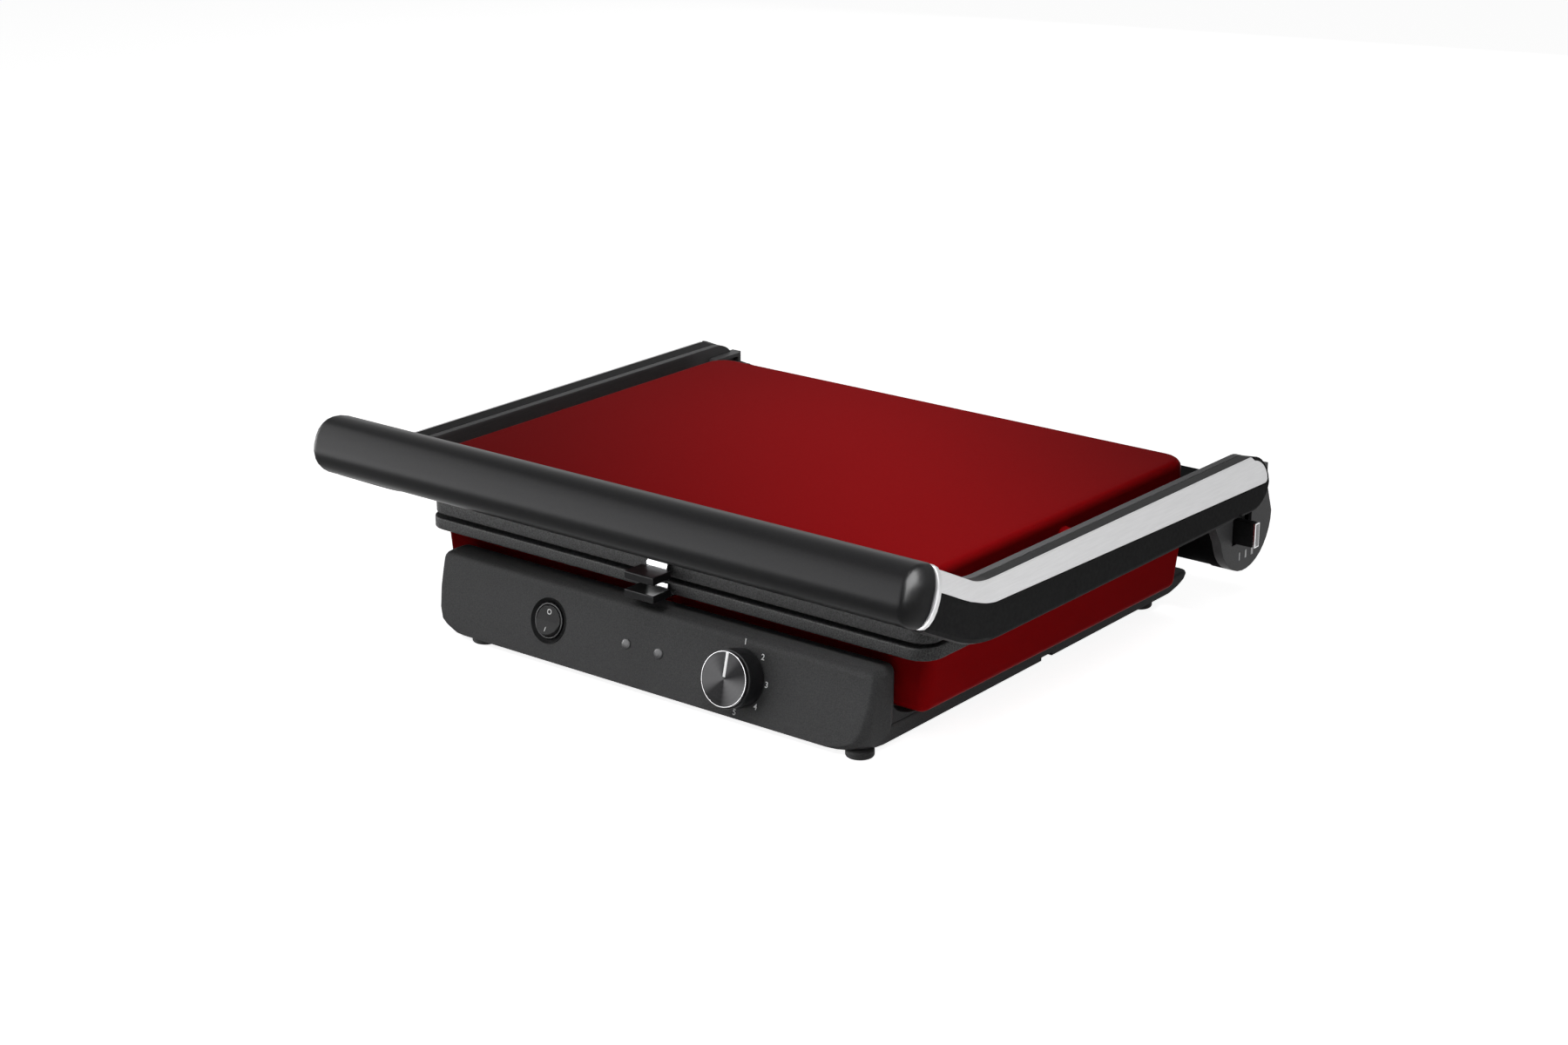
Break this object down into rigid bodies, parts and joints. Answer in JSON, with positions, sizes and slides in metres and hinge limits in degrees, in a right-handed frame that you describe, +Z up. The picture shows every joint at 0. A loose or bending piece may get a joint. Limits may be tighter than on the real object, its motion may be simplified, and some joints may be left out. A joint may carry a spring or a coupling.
{
  "type": "sandwich maker",
  "caption": "Countertop sandwich maker with a floating lid on swept arms, ribbed removable plates, heat dial, power switch and a hinge height lever.",
  "frame": {"origin": "middle of the bounding box in X and Y, on the surface that the feet stand on", "axes": "+Z up, front with the handle and the controls towards -Y, +X to the right seen from the front"},
  "size_m": [0.3974, 0.369, 0.1193],
  "materials": {
    "charcoal_plastic": "fine textured",
    "gloss_black": "gloss",
    "matt_black": "matt",
    "hinge_grey": "satin",
    "red_enamel": "gloss enamel",
    "cast_plate": "speckled non-stick coat",
    "satin_silver": "satin",
    "chrome": "polished",
    "steel": "plain",
    "rubber": "matt",
    "lamp_plastic": "clear tinted",
    "white_plastic": "plain"
  },
  "bodies": {
    "base": {"base_shell": "charcoal_plastic", "bottom_cover": "matt_black", "cord_gland": "matt_black", "cover_screw_1": "steel", "cover_screw_2": "steel", "cover_screw_3": "steel", "cover_screw_4": "steel", "foot_front_left": "rubber", "foot_front_right": "rubber", "foot_rear_left": "rubber", "foot_rear_right": "rubber", "hinge_cover_left": "hinge_grey", "hinge_cover_right": "hinge_grey", "hinge_housing": "gloss_black", "indicator_lamp_left": "lamp_plastic", "indicator_lamp_right": "lamp_plastic", "lower_heat_pan": "steel", "lower_heater": "steel", "lower_housing": "red_enamel", "lower_plate": "cast_plate", "switch_body": "matt_black", "terminal_block": "white_plastic", "thermostat_body": "white_plastic"},
    "lift": {"lift_yoke": "steel", "hinge_pin_left": "steel", "hinge_pin_right": "steel"},
    "arms": {"arm_core_left": "satin_silver", "arm_core_right": "satin_silver", "arm_inlay_left": "satin_silver", "arm_inlay_right": "satin_silver", "arm_shell_left": "gloss_black", "arm_shell_right": "gloss_black", "grip": "matt_black", "grip_trim": "satin_silver", "handle_back": "gloss_black", "handle_screw_left": "steel", "handle_screw_right": "steel"},
    "lid": {"lid_shell": "red_enamel", "lid_pivot_pin_left": "steel", "lid_pivot_pin_right": "steel", "upper_heat_pan": "steel", "upper_heater": "steel", "upper_plate": "cast_plate"},
    "upper_release": {"upper_release_tab": "matt_black", "upper_clip_strip": "steel"},
    "lower_release": {"lower_release_tab": "matt_black", "lower_clip_strip": "steel"},
    "dial": {"dial_body": "matt_black", "dial_face": "satin_silver", "dial_ring": "chrome", "dial_shaft": "steel"},
    "rocker": {"switch_rocker": "matt_black"},
    "lever": {"height_lever": "gloss_black", "lever_cap": "chrome"}
  },
  "joints": [
    {"name": "hinge_lift", "type": "slide", "parent": "base", "child": "lift", "axis": [0, 0, 1], "range_m": [0, 0.003]},
    {"name": "arm_hinge", "type": "hinge", "parent": "lift", "child": "arms", "pos_m": [0, 0.1325, 0.0806], "axis": [-1, 0, 0], "range_deg": [0, 100]},
    {"name": "lid_pivot", "type": "hinge", "parent": "arms", "child": "lid", "pos_m": [0, -0.0068, 0.083], "axis": [1, 0, 0], "range_deg": [0, 8]},
    {"name": "upper_release_hinge", "type": "hinge", "parent": "lid", "child": "upper_release", "pos_m": [0, -0.12355, 0.0687], "axis": [-1, 0, 0], "range_deg": [0, 6], "stiffness_Nm_per_rad": 0.2},
    {"name": "lower_release_hinge", "type": "hinge", "parent": "base", "child": "lower_release", "pos_m": [0, -0.11755, 0.0497], "axis": [1, 0, 0], "range_deg": [0, 6], "stiffness_Nm_per_rad": 0.2},
    {"name": "dial_turn", "type": "hinge", "parent": "base", "child": "dial", "pos_m": [0.0652, -0.1433, 0.02477], "axis": [0, 0.9703, -0.2419], "range_deg": [0, 180]},
    {"name": "switch_rock", "type": "hinge", "parent": "base", "child": "rocker", "pos_m": [-0.0646, -0.14235, 0.02443], "axis": [1, 0, 0], "range_deg": [0, 20]},
    {"name": "lever_slide", "type": "slide", "parent": "base", "child": "lever", "axis": [0, 1, 0], "range_m": [0, 0.012]}
  ],
  "couplings": [
    {"joint": "lever_slide", "follows": "hinge_lift", "ratio": 4},
    {"joint": "lid_pivot", "follows": "arm_hinge", "ratio": 0.08}
  ]
}
